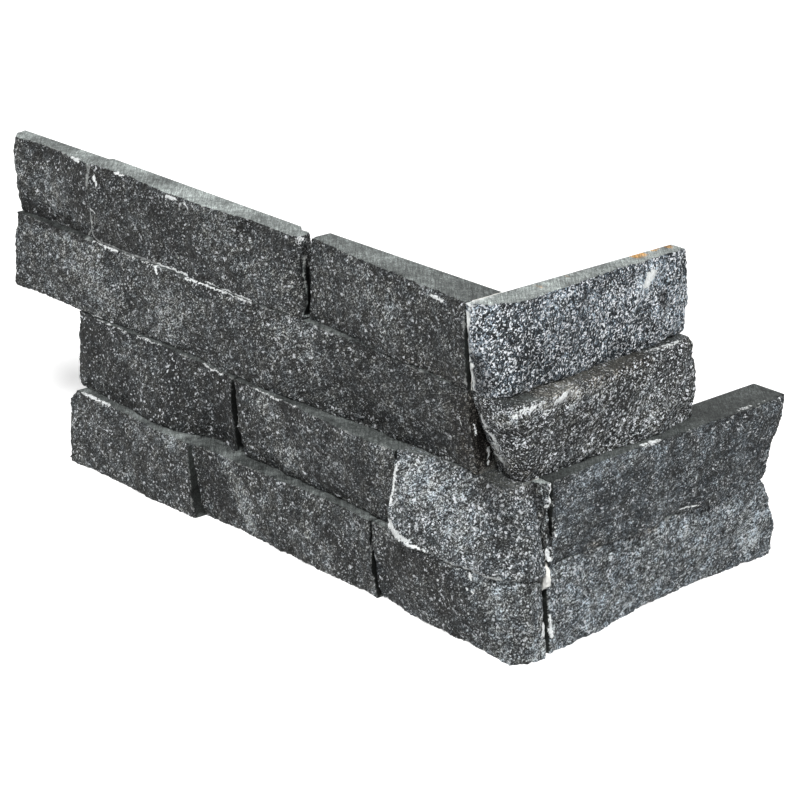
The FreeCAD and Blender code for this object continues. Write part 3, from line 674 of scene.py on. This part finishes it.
class Graph:
    """Short calls that add nodes to a new material or world."""

    def __init__(self, owner):
        self.owner = owner
        owner.use_nodes = True
        self.tree = owner.node_tree
        self.tree.nodes.clear()

    def put(self, socket, value):
        """Link a socket to another, or set its value."""
        if isinstance(value, bpy.types.NodeSocket):
            self.tree.links.new(value, socket)
        else:
            socket.default_value = value

    def node(self, kind, settings=None, **inputs):
        """Add a node; a space in the name of an input is written as _."""
        made = self.tree.nodes.new("ShaderNode" + kind)
        for key, value in (settings or {}).items():
            setattr(made, key, value)
        for key, value in inputs.items():
            self.put(made.inputs[key.replace("_", " ")], value)
        return made

    def math(self, operation, a, b=0.0, clamp=False):
        made = self.tree.nodes.new("ShaderNodeMath")
        made.operation = operation
        made.use_clamp = clamp
        self.put(made.inputs[0], a)
        self.put(made.inputs[1], b)
        return made.outputs[0]

    def spread(self, value, low, high, to_low=0.0, to_high=1.0):
        """Map low..high to another range, smoothly and clamped."""
        made = self.node("MapRange", {"interpolation_type": "SMOOTHSTEP"}, Value=value,
                         From_Min=low, From_Max=high, To_Min=to_low, To_Max=to_high)
        return made.outputs["Result"]

    def mix(self, share, a, b):
        """Mix two colours."""
        made = self.node("Mix", {"data_type": "RGBA"})
        self.put(made.inputs[0], share)
        self.put(made.inputs[6], a)
        self.put(made.inputs[7], b)
        return made.outputs[2]

    def scale(self, colour, factor):
        made = self.node("VectorMath", {"operation": "SCALE"})
        self.put(made.inputs[0], colour)
        self.put(made.inputs["Scale"], factor)
        return made.outputs[0]

    def noise(self, place, size, detail=2.0, roughness=0.5):
        """Noise whose lumps are about size millimetres wide."""
        made = self.node("TexNoise", {"noise_dimensions": "3D"}, Vector=place, Scale=1 / size,
                         Detail=detail, Roughness=roughness)
        return made.outputs["Fac"]

    def vector(self, operation, a, b=(0.0, 0.0, 0.0)):
        made = self.node("VectorMath", {"operation": operation})
        self.put(made.inputs[0], a)
        self.put(made.inputs[1], b)
        return made.outputs["Value" if operation in ("DOT_PRODUCT", "LENGTH") else "Vector"]

    def attribute(self, name):
        return self.node("Attribute", {"attribute_name": name}).outputs["Fac"]

    def cells(self, place, size):
        """Cells about size millimetres wide: a chance value of each, and the way to its middle."""
        made = self.node("TexVoronoi", {"feature": "F1"}, Vector=place, Scale=1 / size)
        pick = self.node("SeparateColor", Color=made.outputs["Color"]).outputs[0]
        return pick, made.outputs["Distance"]

    def seen(self):
        """1 for what the camera sees, also in or through an object; 0 for light on the object."""
        path = self.node("LightPath").outputs
        seen = self.math("MAXIMUM", path["Is Glossy Ray"], path["Is Transmission Ray"])
        return self.math("MAXIMUM", seen, path["Is Camera Ray"])

    def output(self, shader, kind="Material"):
        made = self.tree.nodes.new("ShaderNodeOutput" + kind)
        self.tree.links.new(shader, made.inputs["Surface"])
        return self.owner


def swing(g, parts):
    """e to the power of a weighted sum of noises, each about its middle."""
    total = 0.0
    for value, weight in parts:
        total = g.math("ADD", g.math("MULTIPLY", g.math("SUBTRACT", value, 0.5), weight), total)
    return g.math("EXPONENT", total)


def mark_level(g, spot, squeeze, marks, kind):
    """How strongly one kind of mark shows at spot: it fades away from its line."""
    level = 0.0
    for what, width, strength, *line in marks:
        if what != kind:
            continue
        for start, end in zip(line, line[1:] or line):
            start = Vector(start) * squeeze
            run = Vector(end) * squeeze - start
            away = g.vector("SUBTRACT", spot, start)
            if run.length:
                share = g.vector("DOT_PRODUCT", away, run / run.length_squared)
                share = g.math("MULTIPLY", share, 1.0, clamp=True)
                away = g.vector("SUBTRACT", away, g.scale(run, share))
            gap = g.math("DIVIDE", g.vector("LENGTH", away), width)
            near = g.math("SUBTRACT", 1.5, gap, clamp=True)
            level = g.math("MAXIMUM", level, g.math("MULTIPLY", near, strength))
    return level


def turned(g, place, look, turn):
    """Turn a place in the plane of the stone's face."""
    rotation = (0.0, turn, 0.0) if look["out"].y < 0 else (turn, 0.0, 0.0)
    return g.node("Mapping", Vector=place, Rotation=rotation).outputs[0]


def stone_noises(g, look, place):
    """The noises that a stone's colours and its bump share."""
    # Grains lie as short strokes at the stone's own slope on its face
    strokes = turned(g, place, look, math.radians(look["lean"]))
    strokes = g.vector("MULTIPLY", strokes, stretched(look, *STROKE_STRETCH))
    return SimpleNamespace(
        mottle=g.noise(place, 24.0, 3.0), medium=g.noise(place, 3.4, 3.0, 0.6),
        streak=g.noise(strokes, 3.4, 3.0, 0.6), grit=g.noise(strokes, 0.8, 1.0, 0.6),
        fine=g.noise(place, 0.45, 1.0, 0.5), pick=g.cells(place, look["grain"])[0],
        small_pick=g.cells(place, look["grain"] / 1.8)[0])


def stone_marks(g, look, marks, whole, place):
    """How strongly each kind of mark shows. Their lines wander a little."""
    wander = g.node("TexNoise", Vector=place, Scale=1 / WANDER_SIZE, Detail=3.0, Roughness=0.6)
    wander = g.scale(g.vector("SUBTRACT", wander.outputs["Color"], (0.5, 0.5, 0.5)), WANDER)
    levels = {}
    # Depth counts half, so that a mark on an arris shows on both of its sides; a thin line
    # is drawn through the depth and wanders less, so that none of it sinks into the stone
    for kinds, depth, share in ((("white", "vein", "brown", "rust", "dark"), 0.5, 1.0),
                                (("line",), 0.15, 0.5)):
        squeeze = Vector(1.0 - (1.0 - depth) * abs(part) for part in look["out"])
        spot = g.vector("ADD", whole, g.scale(wander, share))
        spot = g.vector("MULTIPLY", spot, squeeze)
        for kind in kinds:
            levels[kind] = mark_level(g, spot, squeeze, marks, kind)
    return SimpleNamespace(**levels)


def lighter(g, grey, vein, gain):
    """Grey made lighter by the veins."""
    return g.math("MULTIPLY", grey, g.math("ADD", g.math("MULTIPLY", vein, gain), 1.0))


def bright_flakes_and_painted_glints(g, look, place, n):
    """Where the bright grains of mica are; their brightness is partly a painted glint."""
    flake = g.spread(n.pick, 1 - look["flakes"], 1 - look["flakes"] * 0.6)
    glint = g.spread(n.small_pick, 1 - look["flakes"] * 0.8, 1 - look["flakes"] * 0.4)
    flakes = g.math("MULTIPLY", g.math("MAXIMUM", flake, glint), g.spread(n.medium, 0.36, 0.58))
    if not look["slivers"]:
        return flakes
    # Long bright grains that lie two ways, also partly painted glints
    bend = g.node("TexNoise", Vector=place, Scale=0.6, Detail=1.0).outputs["Color"]
    bent = g.vector("ADD", place, bend)
    slope = math.radians(look["lean"])
    for turn in (slope, slope + SLIVER_TURN):
        way = g.vector("MULTIPLY", turned(g, bent, look, turn), stretched(look, SLIVER_STRETCH))
        sliver, middle = g.cells(way, SLIVER_SIZE)
        sliver = g.spread(sliver, 1 - look["slivers"], 1 - look["slivers"] * 0.8)
        sliver = g.math("MULTIPLY", sliver, g.spread(middle, 0.35, 0.5, 1.0, 0.0))
        flakes = g.math("MAXIMUM", flakes, sliver)
    return flakes


def split_grey(g, look, n, marks):
    """Grey of the split face: dark pits and light grains of many sizes."""
    strong = look["swing"]
    grey = swing(g, ((n.grit, 7.0 * strong), (n.fine, 6.4 * strong), (n.small_pick, 1.9 * strong),
                     (n.pick, 0.6 * strong), (n.streak, 4.0), (n.medium, 3.0),
                     (n.mottle, look["patches"])))
    # The tone holds painted light: the right leg's faces lighter and the left leg's darker than
    # the lamps make them
    grey = g.math("MULTIPLY", grey, SPLIT_GREY * look["tone"])
    grey = lighter(g, grey, marks.vein, VEIN_GAIN)
    return g.math("MINIMUM", g.math("ADD", grey, GREY_LEAST), GREY_MOST)


def split_colour(g, look, place, grey, marks):
    """Colour of the split face, a little warmer or cooler from place to place."""
    tint = g.spread(g.noise(place, 6.0, 3.0, 0.7), 0.35, 0.65, 0.05, -0.05)
    tint = g.math("SUBTRACT", tint, look["blue"])
    red = g.math("ADD", g.math("MULTIPLY", tint, 0.7), 0.96)
    tint = g.node("CombineXYZ", X=red, Y=1.02, Z=g.math("SUBTRACT", 1.02, tint)).outputs[0]
    dust = g.math("MULTIPLY", marks.brown, DUST_SHARE)
    return g.mix(dust, g.scale(tint, grey), g.scale(DUST_TINT, grey))


def sawn_colour(g, look, place, n, marks, back):
    """Smooth grey-green of a sawn face, with fine saw lines."""
    saw = g.node("Mapping", Vector=place, Rotation=(0.0, 0.0, SAW_TURN)).outputs[0]
    lines = g.noise(g.vector("MULTIPLY", saw, (0.07, 1.0, 0.07)), 0.6, 2.0, 0.7)
    grey = swing(g, ((lines, 2.6), (n.fine, 2.4), (n.grit, 1.2), (n.medium, 2.0),
                     (n.mottle, 2.4)))
    grey = g.math("MULTIPLY", grey, g.spread(back, 0.0, 1.0, look["sawn"], BACK_GREY))
    grey = lighter(g, grey, marks.vein, SAWN_VEIN_GAIN)
    dust = g.math("MULTIPLY", marks.brown, DUST_SHARE)
    colour = g.mix(dust, g.scale(SAWN_TINT, grey), g.scale(SAWN_DUST_TINT, grey))
    rust = g.spread(g.math("ADD", marks.rust, g.math("SUBTRACT", n.grit, 0.5)), 0.35, 0.9)
    return g.mix(rust, colour, g.scale(RUST_TINT, grey))


def end_colour_with_painted_shade(g, look, n, grey):
    """The ends in the joints: smooth ones are painted dark as the shade in the joint, or rough and
    brownish.
    """
    if not look["end"]:
        return g.scale(ROUGH_END_TINT, g.math("MULTIPLY", grey, 0.65))
    smooth_grey = swing(g, ((n.fine, 2.4), (n.medium, 2.0), (n.mottle, 2.0)))
    return g.scale(g.scale(SMOOTH_END_TINT, smooth_grey), look["end"])


def add_pale_marks(g, colour, n, marks):
    """Pale bruises along the arris, and the white marks that are this stone's own."""
    ragged = g.math("ADD", g.math("MULTIPLY", g.math("SUBTRACT", n.grit, 0.5), 1.8),
                    g.math("MULTIPLY", g.math("SUBTRACT", n.medium, 0.5), 1.4))
    chip = g.attribute("chip")
    worn = g.spread(g.math("ADD", g.math("MULTIPLY", chip, 0.8), ragged), 0.42, 0.80)
    worn = g.math("MULTIPLY", worn, g.spread(chip, 0.02, 0.2))
    colour = g.mix(g.math("MULTIPLY", worn, 0.6), colour, BRUISE)
    shows = g.spread(g.math("ADD", marks.white, ragged), 0.40, 0.85)
    shows = g.math("MULTIPLY", shows, g.spread(marks.white, 0.02, 0.25))
    chalk = g.scale(CHALK_TINT, g.spread(n.fine, 0.35, 0.62, 0.80, 0.98))
    colour = g.mix(shows, colour, chalk)
    line = g.math("MULTIPLY", marks.line, g.spread(n.medium, 0.35, 0.55, 0.55, 1.0), clamp=True)
    return g.mix(line, colour, THIN_LINE)


def stone_material(name, look, own_marks):
    """Split stone, its sawn faces, its bruised arrises and its marks, in one material."""
    g = Graph(bpy.data.materials.new(name))
    draw = random.Random(name)
    whole = g.scale(g.node("TexCoord").outputs["Object"], 1 / MM)
    place = g.vector("ADD", whole, [draw.uniform(0, PLACES) for _ in range(3)])
    n = stone_noises(g, look, place)
    marks = stone_marks(g, look, own_marks, whole, place)
    marks.brown = g.math("MULTIPLY", marks.brown, g.spread(n.medium, 0.35, 0.6, 0.35, 1.0))

    grey = split_grey(g, look, n, marks)
    # Bright mica grains, partly painted glints, laid over the split face
    flakes = bright_flakes_and_painted_glints(g, look, place, n)
    mica = [part * look["flake_and_painted_glint_light"] for part in MICA_AND_PAINTED_GLINT] + [1.0]
    split = g.mix(flakes, split_colour(g, look, place, grey, marks), mica)
    facing = g.vector("DOT_PRODUCT", g.node("NewGeometry").outputs["Normal"], look["out"])
    back = g.math("LESS_THAN", facing, -0.8)
    sawn = sawn_colour(g, look, place, n, marks, back)
    # The smooth ends in the joints carry painted shade
    end = end_colour_with_painted_shade(g, look, n, grey)

    # Which of them shows, with a ragged border; a rough ledge looks like the face
    side = g.math("ADD", g.attribute("sawn"), g.spread(n.medium, 0.3, 0.7, -0.3, 0.3))
    ledge = g.spread(n.grit, 0.35, 0.65, 0.0, 0.6 * look["ledge"])
    ledge = g.math("MULTIPLY", ledge, g.math("SUBTRACT", 1.0, back))
    is_sawn = g.spread(g.math("SUBTRACT", side, ledge), 0.50, 0.68)
    colour = g.mix(is_sawn, split, sawn)
    colour = g.mix(g.attribute("end"), colour, end)
    # Dark marks darken the colour: pits, cracks and dirt, and painted shade in the gaps
    colour = g.scale(colour, g.spread(marks.dark, 0.0, 1.0, 1.0, DARK_MARK_AND_SHADE_REST))
    colour = add_pale_marks(g, colour, n, marks)

    relief = g.math("ADD", n.medium, g.math("MULTIPLY", n.grit, 0.45))
    relief = g.math("ADD", relief, g.math("MULTIPLY", n.pick, 0.15))
    relief = g.math("MULTIPLY", relief, g.spread(is_sawn, 0.0, 1.0, 1.0, 0.12))
    bump = g.node("Bump", Strength=1.0, Distance=0.0008, Height=relief)
    rough = g.math("SUBTRACT", g.spread(is_sawn, 0.0, 1.0, 0.70, 0.55),
                   g.math("MULTIPLY", flakes, 0.35))
    shader = g.node("BsdfPrincipled", Base_Color=colour, Roughness=rough,
                    Specular_IOR_Level=g.spread(is_sawn, 0.0, 1.0, 0.20, 0.08),
                    Normal=bump.outputs[0])
    return g.output(shader.outputs[0])


def glue_material():
    g = Graph(bpy.data.materials.new("hardened_glue"))
    place = g.scale(g.node("TexCoord").outputs["Object"], 1 / MM)
    lumps = g.noise(place, 2.0, 3.0)
    bump = g.node("Bump", Strength=0.6, Distance=0.0005, Height=lumps)
    shader = g.node("BsdfPrincipled", Base_Color=g.mix(lumps, GLUE_DARK, GLUE_LIGHT),
                    Roughness=0.6, Normal=bump.outputs[0])
    return g.output(shader.outputs[0])


def make_stone(node, look):
    """Stands for one CAD stone, with the same form and a rough, chipped skin."""
    surface = Surface(node, look["out"])
    points, attributes = weather(surface, node, look)
    piece = make_mesh(node + "_skin", points, surface.faces, attributes)
    piece.data.materials.append(stone_material(node + "_stone", {**FINISH, **look}, MARKS[node]))
    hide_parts(node)
    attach(piece, "root")


def remeshed(node, voxel):
    """A node's surface as even faces about voxel millimetres wide, in millimetres."""
    points, triangles = cad_triangles(node)
    mesh = bpy.data.meshes.new(node + "_plain")
    mesh.from_pydata(points.tolist(), [], triangles.tolist())
    plain = bpy.data.objects.new(node + "_plain", mesh)
    bpy.context.scene.collection.objects.link(plain)
    remesh = plain.modifiers.new("remesh", "REMESH")
    remesh.mode = "VOXEL"
    remesh.voxel_size = voxel
    even = plain.evaluated_get(bpy.context.evaluated_depsgraph_get()).to_mesh()
    even.calc_loop_triangles()
    points = np.array([tuple(v.co) for v in even.vertices])
    faces = np.array([tuple(t.vertices) for t in even.loop_triangles])
    plain.to_mesh_clear()
    bpy.data.objects.remove(plain)
    return points, faces


def make_lump(node, material, depth, size, voxel):
    """Stands for a small rough node: depth and size of its lumps in mm."""
    points, faces = remeshed(node, voxel)
    points = smooth(points, faces, np.ones(len(points), bool), 3)
    normals = point_normals(points, faces, np.ones(len(faces), bool))
    top = normals[:, 2] > 0.8
    shift = place_in_noise(node)
    rough = np.array([clear_noise(Vector(point) + shift, (size, 3, 1.0)) for point in points])
    # Lumps only reach inward, and less so on the top
    rough = np.minimum(rough, 0.6) - 0.6
    points = points + normals * (depth * rough * np.where(top, 0.25, 1.0))[:, None]
    piece = make_mesh(node + "_lump", within_cad_box(points), faces, dict(sawn=top.astype(float)))
    piece.data.materials.append(material)
    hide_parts(node)
    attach(piece, "root")


def make_camera():
    azimuth = math.radians(CAMERA_AZIMUTH)
    elevation = math.radians(CAMERA_ELEVATION)
    back = Vector((math.sin(azimuth) * math.cos(elevation),
                   -math.cos(azimuth) * math.cos(elevation), math.sin(elevation)))
    camera = bpy.data.objects.new("camera", bpy.data.cameras.new("camera"))
    camera.data.lens = CAMERA_LENS
    camera.data.sensor_width = 36.0
    camera.data.clip_end = 50.0
    camera.location = (Vector(CAMERA_TARGET) + back * CAMERA_DISTANCE) * MM
    camera.rotation_euler = (-back).to_track_quat("-Z", "Y").to_euler()
    bpy.context.scene.collection.objects.link(camera)
    bpy.context.scene.camera = camera


def make_lamp(name, direction, strength, width):
    """A far soft lamp; direction points from the object to it, width is in degrees."""
    lamp = bpy.data.objects.new(name, bpy.data.lights.new(name, "SUN"))
    lamp.data.energy = strength
    lamp.data.angle = math.radians(width)
    lamp.rotation_euler = Vector(direction).to_track_quat("Z", "Y").to_euler()
    bpy.context.scene.collection.objects.link(lamp)


def make_floor():
    """A pale floor that keeps the shadow."""
    size = FLOOR_HALF
    mesh = bpy.data.meshes.new("floor")
    mesh.from_pydata([(-size, -size, 0), (size, -size, 0), (size, size, 0), (-size, size, 0)],
                     [], [(0, 1, 2, 3)])
    floor = bpy.data.objects.new("floor", mesh)
    bpy.context.scene.collection.objects.link(floor)
    g = Graph(bpy.data.materials.new("floor_paper"))
    seen = g.seen()
    paper = g.node("BsdfDiffuse", Color=g.mix(seen, FLOOR_GREY, FLOOR_SEEN))
    glow = g.node("Emission", Color=(1.0, 1.0, 1.0, 1.0),
                  Strength=g.math("MULTIPLY", seen, FLOOR_GLOW))
    both = g.node("AddShader")
    g.put(both.inputs[0], paper.outputs[0])
    g.put(both.inputs[1], glow.outputs[0])
    floor.data.materials.append(g.output(both.outputs[0]))


def make_world():
    """A world that is seen as white and lights the object much less."""
    g = Graph(bpy.data.worlds.new("studio"))
    sky = g.node("Background", Color=(1.0, 1.0, 1.0, 1.0),
                 Strength=g.math("MAXIMUM", g.seen(), WORLD_LIGHT))
    bpy.context.scene.world = g.output(sky.outputs[0], "World")


make_camera()
make_floor()
make_world()
for name, (direction, strength, width) in LAMPS.items():
    make_lamp(name, direction, strength, width)
for node, look in STONES.items():
    make_stone(node, look)
glue = glue_material()
make_lump("upper_corner_glue", glue, depth=0.3, size=2.0, voxel=0.3)
make_lump("lower_corner_glue", glue, depth=1.2, size=4.0, voxel=0.5)
sliver = stone_material("sliver_stone", {**FINISH, **SLIVER_LOOK}, MARKS["corner_sliver"])
make_lump("corner_sliver", sliver, depth=0.9, size=2.4, voxel=0.35)

scene = bpy.context.scene
scene.view_settings.view_transform = "Standard"
